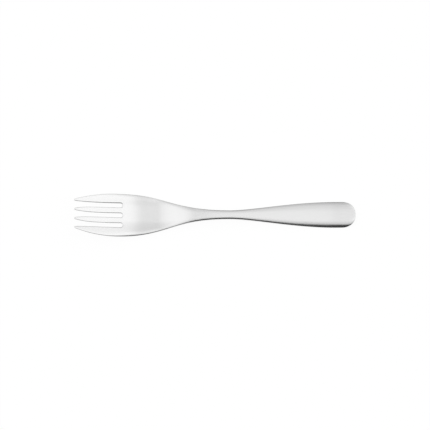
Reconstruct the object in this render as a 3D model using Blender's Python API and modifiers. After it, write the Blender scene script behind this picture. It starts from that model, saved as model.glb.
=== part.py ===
"""A child's table fork: one piece of stainless steel, blanked, pierced and pressed to shape.

It lies along X on the plane Z = 0, with the tips of its tines at -X, the end of its handle at +X
and its hollow side up. Lengths are in metres.
"""

import math

import bmesh
import bpy
import numpy as np

# Outline, seen from above
LENGTH = 0.1500
HEAD_WIDTH = 0.0231
NECK_WIDTH = 0.0049
GRIP_WIDTH = 0.0140
GRIP_TO_END = 0.0106
END_ROUND = 0.0077

# Tines and the slots between them
TINES_EACH_SIDE = 2
TINE_LENGTH = 0.0254
WIDEST_TO_ROOT = 0.0032
SLOT_WIDTH = 0.0021
SLOT_PITCH = 0.0053
TIP_PITCH = 0.00485
TIP_WIDTH = 0.0010

# Places along the side view, each counted on from the one before, and the rest counted back from the end
ROOT_TO_BOWL = 0.0120
BOWL_REST_LENGTH = 0.0058
BOWL_TO_CREST = 0.0215
CREST_LENGTH = 0.0043
CREST_TO_NECK = 0.0135
HANDLE_REST_LENGTH = 0.0033

# Heights of the underside above the table, and the hollow across the tines and the bowl, flat along its floor
TIP_RISE = 0.0120
CREST_RISE = 0.0013
TINE_DISH = 0.0008
BOWL_DISH = 0.0012
DISH_FLOOR = 0.0027

# Thickness along the middle
TIP_THICKNESS = 0.0010
HEAD_THICKNESS = 0.0019
NECK_THICKNESS = 0.0036
GRIP_THICKNESS = 0.0026

# How far the top falls, and the underside rises, towards the outline; both start beside the slots' roots
TINE_CROWN = 0.00025
HEAD_CROWN = 0.00072
NECK_CROWN = 0.00076
GRIP_CROWN = 0.00155
GRIP_BELLY = 0.0006
CROWN_BEFORE_ROOT = 0.0114
CROWN_PAST_ROOT = 0.0086

# Curvature: how sharply the tines draw in, the end turns and the faces fall away towards the outline
TAPER_POWER = 5.5
END_POWER = 2.25
BLUNT_END_POWER = 4.0
HEAD_POWER = 12.0
NECK_POWER = 3.4
GRIP_POWER = 3.2
FLAT_SHARE = 0.3
FLANK_SHARE = 0.7
CORNER_ANGLE = math.radians(50)

# Level handles at the two ends of an S-curve, as shares of its length
EVEN_SHARE = 1 / 3
SHORT_SHARE = 0.12
SHOULDER_SHARES = (0.45, 0.53)
FLARE_SHARES = (0.23, 0.41)
CROWNING_SHARES = (0.6, 0.3)

# Fineness of the cage; a tine's columns are its slot's middle, its inner edge, its middle and its outer edge
TINE_COLUMNS = 4
TINE_ROWS = 9
TIP_CROWDING_POWER = 1.6
RIM_SHARE = 0.75
ROW_STEP = 0.0050
REST_ROWS = 2
END_ROWS = 4
CURVE_POINTS = 65

# Satin steel
STEEL_COLOUR = (0.80, 0.80, 0.80, 1.0)
STEEL_ROUGHNESS = 0.2

# Distances from the tips that follow from the sizes above
SLOT_RADIUS = SLOT_WIDTH / 2
WIDEST = TINE_LENGTH - WIDEST_TO_ROOT
CROWN_START = TINE_LENGTH - CROWN_BEFORE_ROOT
CROWN_FULL = TINE_LENGTH + CROWN_PAST_ROOT
BOWL_FRONT = TINE_LENGTH + ROOT_TO_BOWL
BOWL_REAR = BOWL_FRONT + BOWL_REST_LENGTH
CREST_FRONT = BOWL_REAR + BOWL_TO_CREST
CREST_REAR = CREST_FRONT + CREST_LENGTH
NECK = CREST_REAR + CREST_TO_NECK
GRIP = LENGTH - GRIP_TO_END
END_START = LENGTH - END_ROUND
HANDLE_REST = END_START - HANDLE_REST_LENGTH
TIPS_WIDTH = (2 * TINES_EACH_SIDE - 1) * TIP_PITCH + TIP_WIDTH


def step(x, start, end, lead=EVEN_SHARE, trail=EVEN_SHARE):
    """Climbs from 0 at start to 1 at end, level at both, along a Bezier curve with level handles."""
    t = np.linspace(0, 1, CURVE_POINTS)
    along = 3 * (1 - t) ** 2 * t * lead + 3 * (1 - t) * t**2 * (1 - trail) + t**3
    climb = 3 * (1 - t) * t**2 + t**3
    return np.interp((x - start) / (end - start), along, climb)


def half_width(x):
    """Half the outline's width: fanning out along the tines, drawn in to the neck, flaring to the grip."""
    fan = np.clip(1 - x / WIDEST, 0, 1) ** 2
    width = HEAD_WIDTH - (HEAD_WIDTH - TIPS_WIDTH) * fan
    width -= (HEAD_WIDTH - NECK_WIDTH) * step(x, WIDEST, NECK, *SHOULDER_SHARES)
    width += (GRIP_WIDTH - NECK_WIDTH) * step(x, NECK, GRIP, *FLARE_SHARES)
    return width / 2


def tine_edges(x):
    """Inner and outer edge of each tine on one side of the middle, from the tips to the slots' roots."""
    tine = np.arange(TINES_EACH_SIDE)
    taper = (1 - x[:, None] / TINE_LENGTH) ** TAPER_POWER
    tip = (tine + 0.5) * TIP_PITCH
    inner_root = tine * SLOT_PITCH + SLOT_RADIUS
    outer_root = (tine + 1) * SLOT_PITCH - SLOT_RADIUS
    inner = inner_root + (tip - TIP_WIDTH / 2 - inner_root) * taper
    outer = outer_root + (tip + TIP_WIDTH / 2 - outer_root) * taper
    outer[:, -1] = half_width(x)
    return inner, outer


def columns_across(inner, outer):
    """Columns from the middle outwards, tine by tine, with one more just inside the outline."""
    slot = np.broadcast_to(np.arange(TINES_EACH_SIDE) * SLOT_PITCH, inner.shape)
    columns = np.stack([slot, inner, (inner + outer) / 2, outer], axis=2).reshape(len(inner), -1)
    rim = inner[:, -1] + RIM_SHARE * (outer - inner)[:, -1]
    return np.insert(columns, columns.shape[1] - 1, rim, axis=1)


def tine_rows():
    """Rows along the tines, closer together at the tips, then one row round the ends of the slots."""
    slot_end = TINE_LENGTH - SLOT_RADIUS
    x = slot_end * np.linspace(0, 1, TINE_ROWS + 1) ** TIP_CROWDING_POWER
    y = columns_across(*tine_edges(x))
    reach = SLOT_RADIUS * math.sqrt(0.5)
    turn = slot_end + reach
    tine = np.arange(TINES_EACH_SIDE)
    outer = (tine[None] + 1) * SLOT_PITCH - reach
    outer[:, -1] = half_width(turn)
    y = np.vstack([y, columns_across(tine[None] * SLOT_PITCH + reach, outer)])
    x = np.repeat(np.append(x, turn)[:, None], y.shape[1], axis=1)
    x[-1, tine * TINE_COLUMNS] = TINE_LENGTH
    return x, y


def body_rows(share):
    """Straight rows from behind the slots to where the end begins, each column at its share of the width."""
    stops = [TINE_LENGTH, BOWL_FRONT, BOWL_REAR, CREST_FRONT, CREST_REAR, HANDLE_REST, END_START]
    x = [TINE_LENGTH]
    for start, end in zip(stops, stops[1:]):
        count = math.ceil(max(REST_ROWS, (end - start) / ROW_STEP))
        x.extend(np.linspace(start, end, count + 1)[1:])
    x = np.array(x[1:])[:, None]
    return np.repeat(x, len(share), axis=1), half_width(x) * share


def end_rows(share):
    """Rows that bow out into the handle's rounded end; the sides run round it to the corner angle.

    The end is half a superellipse: cosine and sine of an angle, both to the same power.
    """
    power = 2 / END_POWER
    s = np.linspace(0, 1, END_ROWS + 1)[1:, None]
    side_angle = math.pi / 2 + (CORNER_ANGLE - math.pi / 2) * s
    sweep = (np.sin(CORNER_ANGLE * share) / math.sin(CORNER_ANGLE)) ** power
    sag = (1 - np.cos(CORNER_ANGLE * share) ** power) / (1 - math.cos(CORNER_ANGLE) ** power)
    x = END_START + END_ROUND * (s + (np.cos(side_angle) ** power - s) * sag)
    y = half_width(END_START) * np.sin(side_angle) ** power * ((1 - s) * share + s * sweep)
    return x, y


def faces_of_blank():
    """Places of the cage's points on one half: along, across, and the heights of underside and top."""
    tine_x, tine_y = tine_rows()
    share = tine_y[-1] / tine_y[-1, -1]
    body_x, body_y = body_rows(share)
    end_x, end_y = end_rows(share)
    x = np.vstack([tine_x, body_x, end_x])
    y = np.vstack([tine_y, body_y, end_y])

    # Nearness to the sides: 0 on the middle line, 1 at the outline, and a little less round the blunter end
    end_share = np.clip((x - END_START) / END_ROUND, 0, 1)
    reach = half_width(x) * (1 - end_share**BLUNT_END_POWER) ** (1 / BLUNT_END_POWER)
    side = np.divide(y, reach, out=np.zeros_like(y), where=reach > 0)
    flank = np.clip(side - FLAT_SHARE, 0, None) / (1 - FLAT_SHARE)

    # Side view: tines curl up before the bowl, the neck climbs to the crest, the handle slopes to its rest
    to_crest = step(x, BOWL_REAR, CREST_FRONT)
    to_rest = step(x, CREST_REAR, HANDLE_REST, SHORT_SHARE, SHORT_SHARE)
    curl = TIP_RISE * np.clip(1 - x / BOWL_FRONT, 0, 1) ** 2
    middle = curl + CREST_RISE * (to_crest - to_rest)
    dish = TINE_DISH + (BOWL_DISH - TINE_DISH) * step(x, WIDEST, BOWL_FRONT)
    middle += dish * step(y, DISH_FLOOR, HEAD_WIDTH / 2) * (1 - step(x, BOWL_REAR, NECK))
    thickness = TIP_THICKNESS + (HEAD_THICKNESS - TIP_THICKNESS) * step(x, 0, TINE_LENGTH)
    thickness += (NECK_THICKNESS - HEAD_THICKNESS) * to_crest
    thickness += (GRIP_THICKNESS - NECK_THICKNESS) * to_rest

    # Section: a flat head with rounded edges turns into the crowned handle on the way up to the neck
    crowned = step(x, BOWL_REAR, CREST_REAR)
    to_grip = step(x, NECK, GRIP, *CROWNING_SHARES)
    crown = TINE_CROWN + (HEAD_CROWN - TINE_CROWN) * step(x, CROWN_START, CROWN_FULL)
    crown += (NECK_CROWN - HEAD_CROWN) * crowned
    belly = crown + (GRIP_BELLY - NECK_CROWN) * to_grip
    crown += (GRIP_CROWN - NECK_CROWN) * to_grip
    bluntness = 1 / HEAD_POWER + (1 / NECK_POWER - 1 / HEAD_POWER) * crowned
    bluntness += (1 / GRIP_POWER - 1 / NECK_POWER) * to_grip
    underside = middle + belly * flank ** (FLANK_SHARE / bluntness)
    top = middle + thickness - crown * side ** (1 / bluntness)
    return x - LENGTH / 2, y, underside, top, len(tine_x) - 1


def make_steel():
    steel = bpy.data.materials.new("satin_steel")
    steel.use_nodes = True
    shader = steel.node_tree.nodes["Principled BSDF"]
    shader.inputs["Base Color"].default_value = STEEL_COLOUR
    shader.inputs["Metallic"].default_value = 1.0
    shader.inputs["Roughness"].default_value = STEEL_ROUGHNESS
    return steel


def make_fork():
    """Half a sheet of quads with its slots pierced, drawn out to two faces, mirrored and smoothed."""
    x, y, underside, top, root_row = faces_of_blank()
    last_row = x.shape[0] - 1
    last_column = x.shape[1] - 1
    cage = bmesh.new()
    bmesh.ops.create_grid(cage, x_segments=last_row, y_segments=last_column, size=1)
    row = cage.verts.layers.int.new("row")
    column = cage.verts.layers.int.new("column")
    for vert in cage.verts:
        vert[row] = round((vert.co.x + 1) / 2 * last_row)
        vert[column] = round((vert.co.y + 1) / 2 * last_column)

    # A slot's quads touch the column along its middle, and end at the row of the roots
    slot_columns = [tine * TINE_COLUMNS for tine in range(TINES_EACH_SIDE)]
    pierced = []
    for face in cage.faces:
        beside_slot = any(vert[column] in slot_columns for vert in face.verts)
        if beside_slot and all(vert[row] <= root_row for vert in face.verts):
            pierced.append(face)
    bmesh.ops.delete(cage, geom=pierced, context="FACES")

    lower = list(cage.verts)
    drawn = bmesh.ops.extrude_face_region(cage, geom=cage.faces[:], use_keep_orig=True)
    upper = [item for item in drawn["geom"] if isinstance(item, bmesh.types.BMVert)]
    for verts, height in ((lower, underside), (upper, top)):
        for vert in verts:
            place = (vert[row], vert[column])
            vert.co = (x[place], y[place], height[place])
    middle_wall = [face for face in cage.faces if all(vert[column] == 0 for vert in face.verts)]
    bmesh.ops.delete(cage, geom=middle_wall, context="FACES")
    bmesh.ops.recalc_face_normals(cage, faces=cage.faces[:])

    mesh = bpy.data.meshes.new("fork")
    cage.to_mesh(mesh)
    cage.free()
    mesh.materials.append(make_steel())
    mesh.shade_smooth()
    fork = bpy.data.objects.new("fork", mesh)

    mirror = fork.modifiers.new("other half", "MIRROR")
    mirror.use_axis = (False, True, False)
    mirror.merge_threshold = 0.00001
    smooth = fork.modifiers.new("rounded edges", "SUBSURF")
    smooth.use_limit_surface = False
    smooth.levels = 1
    smooth.render_levels = 1
    return fork


for old in list(bpy.data.objects):
    bpy.data.objects.remove(old)
parts = bpy.data.collections.new("child_fork")
bpy.context.scene.collection.children.link(parts)
parts.objects.link(make_fork())
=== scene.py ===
import math

import bpy
import numpy as np
from mathutils import Matrix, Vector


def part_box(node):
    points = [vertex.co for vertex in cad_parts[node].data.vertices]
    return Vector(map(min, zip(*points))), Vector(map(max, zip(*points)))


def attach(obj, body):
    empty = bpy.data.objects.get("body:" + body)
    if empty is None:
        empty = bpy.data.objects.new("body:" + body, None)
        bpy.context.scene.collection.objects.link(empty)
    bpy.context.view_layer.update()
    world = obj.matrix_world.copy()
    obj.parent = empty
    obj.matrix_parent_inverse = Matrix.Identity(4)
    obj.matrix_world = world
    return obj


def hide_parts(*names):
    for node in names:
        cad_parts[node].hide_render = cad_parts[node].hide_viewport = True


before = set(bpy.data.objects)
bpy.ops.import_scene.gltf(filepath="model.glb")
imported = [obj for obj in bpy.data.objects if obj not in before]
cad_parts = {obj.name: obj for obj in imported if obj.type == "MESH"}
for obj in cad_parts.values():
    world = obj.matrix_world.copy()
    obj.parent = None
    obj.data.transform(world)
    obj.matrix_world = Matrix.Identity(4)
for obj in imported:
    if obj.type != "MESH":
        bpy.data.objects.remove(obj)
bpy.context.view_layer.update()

# The fork
# One blank of stainless strip, rolled thinner towards its tines, pierced between them and pressed to its
# side shape. Tumbling has rounded every edge, and the faces are satin finished along the length.
low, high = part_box("fork")
LENGTH = high.x - low.x
HEAD_WIDTH = high.y - low.y
NECK_WIDTH = 0.0049
GRIP_WIDTH = 0.0140

# Tines and the slots between them
TINE_LENGTH = 0.0254
SLOT_PITCH = 0.0053
SLOT_RADIUS = 0.00105
SLOT_END = TINE_LENGTH - SLOT_RADIUS
TIP_PITCH = 0.00485
TIP_RADIUS = 0.0005
TAPER_POWER = 5.5

# Places along the length, as distances from the tips
WIDEST = 0.0222
CROWN_START = 0.0140
CROWN_FULL = 0.0340
BOWL_FRONT = 0.0374
BOWL_REAR = 0.0432
CREST_FRONT = 0.0647
CREST_REAR = 0.0690
NECK = 0.0825
HANDLE_REST = LENGTH - 0.0110
GRIP = LENGTH - 0.0106
END_ROUND = 0.0077
END_START = LENGTH - END_ROUND

# Heights of the underside, the hollow across the head, and the thickness along the middle
TIP_RISE = 0.0120
CREST_RISE = 0.0013
TINE_DISH = 0.0008
BOWL_DISH = 0.0012
DISH_FLOOR = 0.0027
TIP_THICKNESS = 0.0010
HEAD_THICKNESS = 0.0019
NECK_THICKNESS = 0.0036
GRIP_THICKNESS = 0.0026

# How far the top falls and the underside rises towards the outline, and how late across the width
TINE_CROWN = 0.00025
HEAD_CROWN = 0.00072
NECK_CROWN = 0.00076
GRIP_CROWN = 0.00155
GRIP_BELLY = 0.00060
TINE_POWER = 45.0
HEAD_POWER = 12.0
NECK_POWER = 3.4
GRIP_POWER = 3.2
END_POWER = 2.25
END_CROWN_POWER = 4.0

# Rounding of the edges
SLOT_EDGE = 0.00042
WALL_EDGE = 0.00015
OUTER_EDGE = 0.00025

# Level handles at the two ends of an S-curve, as shares of its length
EVEN = (1 / 3, 1 / 3)
SHORT = (0.12, 0.12)
SHOULDER = (0.45, 0.53)
FLARE = (0.23, 0.41)
CROWNING = (0.6, 0.3)

# Satin marks and haze, in cycles per metre, and what they do to the steel
MARKS_ALONG = 80.0
MARKS_ACROSS = 5000.0
MARKS_DETAIL = 4.0
MARKS_DEPTH = 0.00005
MARKS_STRENGTH = 0.12
HAZE = 70.0
HAZE_DETAIL = 1.0
NOISE_SPREAD = (0.3, 0.7)
STEEL_DARK = (0.775, 0.775, 0.775, 1)
STEEL_PALE = (0.825, 0.825, 0.825, 1)
ROUGHNESS = (0.165, 0.245)
HAZE_ROUGHNESS = (-0.02, 0.02)
EDGE_POLISH = 0.04

# Fineness of the grid
TIP_ROWS = 8
TINE_ROWS = 44
ROOT_ROWS = 14
BOWL_ROWS = 26
SHAFT_ROWS = 131
END_ROWS = 26
TIP_CROWDING = 1.7
ROOT_CROWDING = 1.8
COLUMNS = 20
COLUMNS_OPEN = 0.015
CURVE_POINTS = 400
WELD_DECIMALS = 7
TINY = 1e-9


def step(x, start, end, handles=EVEN):
    """An S-curve from 0 at start to 1 at end: a Bezier curve with level handles of those lengths."""
    lead, trail = handles
    t = np.linspace(0, 1, CURVE_POINTS)
    along = 3 * (1 - t) ** 2 * t * lead + 3 * (1 - t) * t**2 * (1 - trail) + t**3
    climb = 3 * (1 - t) * t**2 + t**3
    return np.interp((x - start) / (end - start), along, climb)


def half_width(x):
    """Half the outline: a parabola along the tines, an S-curve in to the neck and one out to the grip."""
    tips_width = 3 * TIP_PITCH + 2 * TIP_RADIUS
    width = HEAD_WIDTH - (HEAD_WIDTH - tips_width) * np.clip(1 - x / WIDEST, 0, 1) ** 2
    width -= (HEAD_WIDTH - NECK_WIDTH) * step(x, WIDEST, NECK, SHOULDER)
    width += (GRIP_WIDTH - NECK_WIDTH) * step(x, NECK, GRIP, FLARE)
    return width / 2


def rounded(depth):
    """A quarter circle: 0 at an edge, 1 and level once depth, in edge radii, is past 1."""
    return np.sqrt(1 - (1 - np.clip(depth, 0, 1)) ** 2)


def superellipse(across, along, power):
    """The root of the sum of two nearnesses' powers, which is 1 on a superellipse."""
    return (across**power + along**power) ** (1 / power)


def rows_along():
    """Distances from the tips: close at the round tips, the slots' round ends and the handle's end."""
    quarter = math.pi / 2
    tine_share = np.linspace(0, 1, TINE_ROWS + 1)[1:] ** TIP_CROWDING
    bowl_share = np.linspace(0, 1, BOWL_ROWS + 1)[1:] ** ROOT_CROWDING
    tip = TIP_RADIUS * (1 - np.cos(np.linspace(0, quarter, TIP_ROWS + 1)))
    tine = TIP_RADIUS + (SLOT_END - TIP_RADIUS) * tine_share
    root = SLOT_END + SLOT_RADIUS * np.sin(np.linspace(0, quarter, ROOT_ROWS + 1)[1:])
    bowl = TINE_LENGTH + (BOWL_FRONT - TINE_LENGTH) * bowl_share
    shaft = np.linspace(BOWL_FRONT, END_START, SHAFT_ROWS + 1)[1:]
    end = END_START + END_ROUND * np.sin(np.linspace(0, quarter, END_ROWS + 1)[1:])
    return np.concatenate([tip, tine, root, bowl, shaft, end])


def strip_edges(tine, x, outline):
    """Inner edge, outer edge and half width of a strip: a tine, then lines at a set share of the outline.

    A tine's edges leave its slots' round ends and draw in by a power of the distance to the roots, and a
    half circle closes its tip. The outer tine has the outline for its outer edge.
    """
    taper = np.clip(1 - x / TINE_LENGTH, 0, 1) ** TAPER_POWER
    tip = (tine + 0.5) * TIP_PITCH
    arc = np.sqrt(np.clip(SLOT_RADIUS**2 - np.clip(x - SLOT_END, 0, None) ** 2, 0, None))
    inner_root = tine * SLOT_PITCH + arc
    outer_root = (tine + 1) * SLOT_PITCH - arc
    inner = inner_root + (tip - TIP_RADIUS - inner_root) * taper
    outer = outer_root + (tip + TIP_RADIUS - outer_root) * taper
    if tine == 1:
        outer = half_width(x)
    middle = (inner + outer) / 2
    half = (outer - inner) / 2 * rounded(x / TIP_RADIUS)
    behind = x >= TINE_LENGTH
    shrink = outline / half_width(TINE_LENGTH)
    inner = np.where(behind, tine * SLOT_PITCH * shrink, middle - half)
    outer = np.where(behind, (tine + 1) * SLOT_PITCH * shrink, middle + half)
    if tine == 1:
        outer = np.where(behind, outline, outer)
    return inner, outer, half


def ribbon(tine):
    """Top and underside of the strip of steel that runs from one tine's tip to the handle's end.

    Across a row the strip goes from one slot to the next, or to the outline. A middle sheet carries the
    side view and the dish. Each face stands off it by half the wall, times quarter circles at the edges,
    and by its crown, which falls off with a power of the nearness to the outline and with a parabola at
    each slot. So the two faces meet along every edge.
    """
    x = rows_along()
    in_tine = (x <= SLOT_END)[:, None]
    width = half_width(x)[:, None]
    end_share = np.clip((x - END_START) / END_ROUND, 0, 1)
    outline = half_width(x) * (1 - end_share**END_POWER) ** (1 / END_POWER)
    inner, outer, half = (edge[:, None] for edge in strip_edges(tine, x, outline))
    end_share = end_share[:, None]
    x = x[:, None]

    # Columns crowd towards both edges of a tine, and only towards the outline behind the slots
    t = np.linspace(0, 1, COLUMNS + 1)
    crowded = (1 - np.cos(math.pi * t)) / 2
    opened = np.sin(math.pi / 2 * t) if tine == 1 else t
    fade = step(x, TINE_LENGTH, TINE_LENGTH + COLUMNS_OPEN)
    y = inner + (outer - inner) * ((1 - fade) * crowded + fade * opened)

    # Distances to the slots beside the strip, less a hair so that they are 0 on an edge, and nearness to
    # the outline
    depths = []
    for slot, along_tine in ((tine, y - inner), (tine + 1, outer - y)):
        round_end = np.hypot(x - SLOT_END, y - slot * SLOT_PITCH) - SLOT_RADIUS - TINY
        depths.append(np.where(in_tine, along_tine, round_end))
    near = y / width
    if tine == 1:
        depths.pop()
        near = np.where(in_tine, y / np.maximum(outer, TINY), near)
    near = np.clip(near, 0, 1)
    end_width = (1 - end_share**END_CROWN_POWER) ** (1 / END_CROWN_POWER)
    side = np.clip(near / np.maximum(end_width, TINY), 0, 1)
    outline_depth = (1 - np.clip(superellipse(near, end_share, END_POWER), 0, 1)) * width
    narrow = np.maximum(np.where(in_tine, half, np.inf), TINY)

    # Side view, and the shallow dish across the head
    to_crest = step(x, BOWL_REAR, CREST_FRONT)
    to_rest = step(x, CREST_REAR, HANDLE_REST, SHORT)
    underside = TIP_RISE * np.clip(1 - x / BOWL_FRONT, 0, 1) ** 2 + CREST_RISE * (to_crest - to_rest)
    dish = TINE_DISH + (BOWL_DISH - TINE_DISH) * step(x, WIDEST, BOWL_FRONT)
    dish = dish * step(y, DISH_FLOOR, HEAD_WIDTH / 2) * (1 - step(x, BOWL_REAR, NECK))

    # Thickness, crown and belly along the length
    thickness = TIP_THICKNESS + (HEAD_THICKNESS - TIP_THICKNESS) * step(x, 0, TINE_LENGTH)
    thickness += (NECK_THICKNESS - HEAD_THICKNESS) * to_crest
    thickness += (GRIP_THICKNESS - NECK_THICKNESS) * to_rest
    to_head = step(x, CROWN_START, CROWN_FULL)
    to_shaft = step(x, BOWL_REAR, CREST_REAR)
    to_grip = step(x, NECK, GRIP, CROWNING)
    crown = TINE_CROWN + (HEAD_CROWN - TINE_CROWN) * to_head
    crown += (NECK_CROWN - HEAD_CROWN) * to_shaft
    belly = crown + (GRIP_BELLY - NECK_CROWN) * to_grip
    crown = crown + (GRIP_CROWN - NECK_CROWN) * to_grip
    bluntness = 1 / TINE_POWER + (1 / HEAD_POWER - 1 / TINE_POWER) * to_head
    bluntness += (1 / NECK_POWER - 1 / HEAD_POWER) * to_shaft
    bluntness += (1 / GRIP_POWER - 1 / NECK_POWER) * to_grip

    # How much of the wall and of the crown is left towards the edges
    wall = rounded(x / TIP_RADIUS) * rounded(outline_depth / np.minimum(WALL_EDGE, narrow))
    slope = rounded(x / TIP_RADIUS) * (1 - side ** (1 / bluntness))
    for depth in depths:
        wall = wall * rounded(depth / np.minimum(WALL_EDGE, narrow))
        slope = slope * (1 - (1 - np.clip(depth / np.minimum(SLOT_EDGE, narrow), 0, 1)) ** 2)
    close = rounded(outline_depth / np.minimum(OUTER_EDGE, narrow))

    half_wall = (thickness - crown - belly) / 2
    sheet = underside + belly + half_wall + dish
    faces = []
    for up, swell in ((1, crown), (-1, belly)):
        z = sheet + up * (half_wall * wall + swell * slope * close)
        faces.append((np.stack(np.broadcast_arrays(x + low.x, y, z, 1 - slope), axis=2), up))
    return faces


def fork_mesh():
    """Two ribbons and their mirror images, welded where their edges meet.

    The attribute "edge" goes from 0 in the middle of a face to 1 on its rounded edge.
    """
    points, quads, count = [], [], 0
    for tine in (0, 1):
        for place, up in ribbon(tine):
            for side in (1, -1):
                grid = place * (1, side, 1, 1)
                index = count + np.arange(grid[..., 0].size).reshape(grid.shape[:2])
                count += index.size
                quad = np.stack([index[:-1, :-1], index[1:, :-1], index[1:, 1:], index[:-1, 1:]], axis=2)
                quads.append(quad.reshape(-1, 4)[:, :: up * side])
                points.append(grid.reshape(-1, 4))
    points = np.concatenate(points)
    quads = np.concatenate(quads)

    # Points in one place become one, and quads that lose a corner by that become triangles, or vanish
    places = np.round(points[:, :3], WELD_DECIMALS)
    _, first, weld = np.unique(places, axis=0, return_index=True, return_inverse=True)
    quads = weld.reshape(-1)[quads]
    repeated = quads == np.roll(quads, -1, axis=1)
    corners = 4 - repeated.sum(axis=1)
    triangles = quads[corners == 3][~repeated[corners == 3]].reshape(-1, 3)

    mesh = bpy.data.meshes.new("fork_steel")
    mesh.from_pydata(points[first, :3], [], quads[corners == 4].tolist() + triangles.tolist())
    polish = mesh.attributes.new("edge", "FLOAT", "POINT")
    polish.data.foreach_set("value", points[first, 3].astype(np.float32))
    mesh.shade_smooth()
    return mesh


def ramp(tree, value, start, end, first, last):
    """A smooth change from first to last as value goes from start to end."""
    node = tree.nodes.new("ShaderNodeMapRange")
    node.interpolation_type = "SMOOTHSTEP"
    for name, number in (("From Min", start), ("From Max", end), ("To Min", first), ("To Max", last)):
        node.inputs[name].default_value = number
    tree.links.new(value, node.inputs["Value"])
    return node.outputs["Result"]


def maths(tree, operation, first, second):
    """One operation on two values, each a socket or a plain number."""
    node = tree.nodes.new("ShaderNodeMath")
    node.operation = operation
    for socket, value in zip(node.inputs, (first, second)):
        if isinstance(value, (int, float)):
            socket.default_value = value
        else:
            tree.links.new(value, socket)
    return node.outputs["Value"]


def noise(tree, place, scale, detail):
    """Cloudy noise around a half, of that many cycles per unit of place."""
    node = tree.nodes.new("ShaderNodeTexNoise")
    node.inputs["Scale"].default_value = scale
    node.inputs["Detail"].default_value = detail
    tree.links.new(place, node.inputs["Vector"])
    return node.outputs["Fac"]


def satin_steel():
    """Stainless steel with fine marks along its length and a faint haze, polished along the edges."""
    steel = bpy.data.materials.new("satin_steel")
    steel.use_nodes = True
    tree = steel.node_tree
    shader = tree.nodes["Principled BSDF"]
    shader.inputs["Metallic"].default_value = 1.0
    place = tree.nodes.new("ShaderNodeTexCoord").outputs["Object"]
    stretch = tree.nodes.new("ShaderNodeMapping")
    stretch.inputs["Scale"].default_value = (MARKS_ALONG, MARKS_ACROSS, MARKS_ALONG)
    tree.links.new(place, stretch.inputs["Vector"])
    marks = noise(tree, stretch.outputs["Vector"], 1.0, MARKS_DETAIL)
    haze = noise(tree, place, HAZE, HAZE_DETAIL)
    edge = tree.nodes.new("ShaderNodeAttribute")
    edge.attribute_name = "edge"

    colour = tree.nodes.new("ShaderNodeMix")
    colour.data_type = "RGBA"
    colour.inputs["A"].default_value = STEEL_DARK
    colour.inputs["B"].default_value = STEEL_PALE
    tree.links.new(marks, colour.inputs["Factor"])
    tree.links.new(colour.outputs["Result"], shader.inputs["Base Color"])

    rough = ramp(tree, marks, *NOISE_SPREAD, *ROUGHNESS)
    rough = maths(tree, "ADD", rough, ramp(tree, haze, *NOISE_SPREAD, *HAZE_ROUGHNESS))
    rough = maths(tree, "SUBTRACT", rough, maths(tree, "MULTIPLY", edge.outputs["Fac"], EDGE_POLISH))
    tree.links.new(rough, shader.inputs["Roughness"])

    bump = tree.nodes.new("ShaderNodeBump")
    bump.inputs["Strength"].default_value = MARKS_STRENGTH
    bump.inputs["Distance"].default_value = MARKS_DEPTH
    tree.links.new(marks, bump.inputs["Height"])
    tree.links.new(bump.outputs["Normal"], shader.inputs["Normal"])
    return steel


fork = bpy.data.objects.new("fork_steel", fork_mesh())
bpy.context.scene.collection.objects.link(fork)
fork.data.materials.append(satin_steel())
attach(fork, "root")
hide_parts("fork")

# The table
# A plain white sheet that the fork lies on. What looks at it directly, or in the steel, sees mostly a glow
# of its own, just past full white, with enough of the light that falls on it to keep a faint shadow.
TABLE_HALF = 6.0
TABLE_DROP = 0.0001
TABLE_COLOUR = (0.95, 0.95, 0.95, 1)
OWN_WHITE = 0.9
GLOW = 1.025
corners = np.array([[-1, -1], [1, -1], [1, 1], [-1, 1]]) * TABLE_HALF
table_mesh = bpy.data.meshes.new("table")
table_mesh.from_pydata(np.column_stack([corners, np.full(4, -TABLE_DROP)]), [], [(0, 1, 2, 3)])
table = bpy.data.objects.new("table", table_mesh)
bpy.context.scene.collection.objects.link(table)


def seen_directly(tree):
    """1 for rays from the camera, off a glossy surface or through glass, 0 for light bounced about."""
    path = tree.nodes.new("ShaderNodeLightPath").outputs
    reflected = maths(tree, "MAXIMUM", path["Is Glossy Ray"], path["Is Transmission Ray"])
    return maths(tree, "MAXIMUM", path["Is Camera Ray"], reflected)


white = bpy.data.materials.new("white_sheet")
white.use_nodes = True
sheet = white.node_tree
sheet.nodes.remove(sheet.nodes["Principled BSDF"])
lit = sheet.nodes.new("ShaderNodeBsdfDiffuse")
lit.inputs["Color"].default_value = TABLE_COLOUR
glow = sheet.nodes.new("ShaderNodeEmission")
glow.inputs["Strength"].default_value = GLOW
blend = sheet.nodes.new("ShaderNodeMixShader")
sheet.links.new(maths(sheet, "MULTIPLY", seen_directly(sheet), OWN_WHITE), blend.inputs["Fac"])
sheet.links.new(lit.outputs["BSDF"], blend.inputs[1])
sheet.links.new(glow.outputs["Emission"], blend.inputs[2])
sheet.links.new(blend.outputs["Shader"], sheet.nodes["Material Output"].inputs["Surface"])
table_mesh.materials.append(white)

# The light
# A white tent, a little brighter beyond both ends of the fork, greyer behind it and low down all round.
# A black card low in front of it draws the dark line along the near edge of the steel.
OVERHEAD = 0.905
world = bpy.data.worlds.new("tent")
world.use_nodes = True
bpy.context.scene.world = world
tent = world.node_tree
direction = tent.nodes.new("ShaderNodeTexCoord")
split = tent.nodes.new("ShaderNodeSeparateXYZ")
tent.links.new(direction.outputs["Generated"], split.inputs["Vector"])

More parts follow.
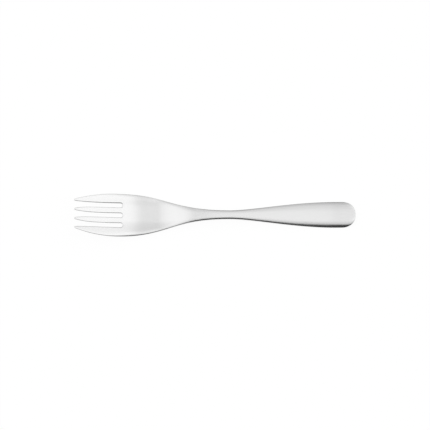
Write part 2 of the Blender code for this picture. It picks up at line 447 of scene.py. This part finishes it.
# How far a direction leans towards the handle, the back and upwards, each from -1 to 1
to_handle, to_back, upwards = split.outputs
to_tines = maths(tent, "MULTIPLY", to_handle, -1)
to_ends = maths(tent, "MAXIMUM", to_handle, to_tines)

# Shades of the tent: from where to where along a direction, and from what strength to what
off_front = ramp(tent, to_back, -0.45, -0.18, 0.0, 1.0)
handle_end = maths(tent, "MULTIPLY", ramp(tent, to_handle, 0.0, 0.22, 0.0, 0.29), off_front)
tine_end = ramp(tent, to_tines, 0.0, 0.42, 0.0, 0.25)
ends = maths(tent, "ADD", handle_end, tine_end)
card = ramp(tent, to_back, -0.65, -0.54, 0.07, 1.0)
card = maths(tent, "MAXIMUM", card, ramp(tent, to_ends, 0.50, 0.72, 0.0, 0.9))
in_front = ramp(tent, to_back, -0.60, -0.15, 0.80, 1.0)
high_back = ramp(tent, to_back, 0.08, 0.50, 1.0, 0.86)
low_back = ramp(tent, to_back, 0.60, 0.95, 1.0, 0.75)
low_down = ramp(tent, upwards, 0.24, 0.40, 0.50, 1.0)
strength = maths(tent, "ADD", ends, OVERHEAD)
for shade in (card, in_front, high_back, low_back, low_down):
    strength = maths(tent, "MULTIPLY", strength, shade)
tent.nodes["Background"].inputs["Color"].default_value = (1, 1, 1, 1)
tent.links.new(strength, tent.nodes["Background"].inputs["Strength"])

# The camera
# A long lens nearly straight above the fork, leaning a little towards its near side.
ELEVATION = math.radians(83)
DISTANCE = 2.0
FRAME_WIDTH = 0.2295
AIM = (-0.0002, -0.00004, 0.003)
ROLL = math.radians(-0.25)
SENSOR_WIDTH = 36.0
lens = bpy.data.cameras.new("camera")
lens.sensor_width = SENSOR_WIDTH
lens.lens = SENSOR_WIDTH * DISTANCE / FRAME_WIDTH
camera = bpy.data.objects.new("camera", lens)
back = DISTANCE * math.cos(ELEVATION)
camera.location = (AIM[0], AIM[1] - back, AIM[2] + DISTANCE * math.sin(ELEVATION))
lean_down = Matrix.Rotation(math.pi / 2 - ELEVATION, 3, "X")
camera.rotation_euler = (lean_down @ Matrix.Rotation(ROLL, 3, "Z")).to_euler()
bpy.context.scene.collection.objects.link(camera)
bpy.context.scene.camera = camera
bpy.context.scene.view_settings.view_transform = "Standard"
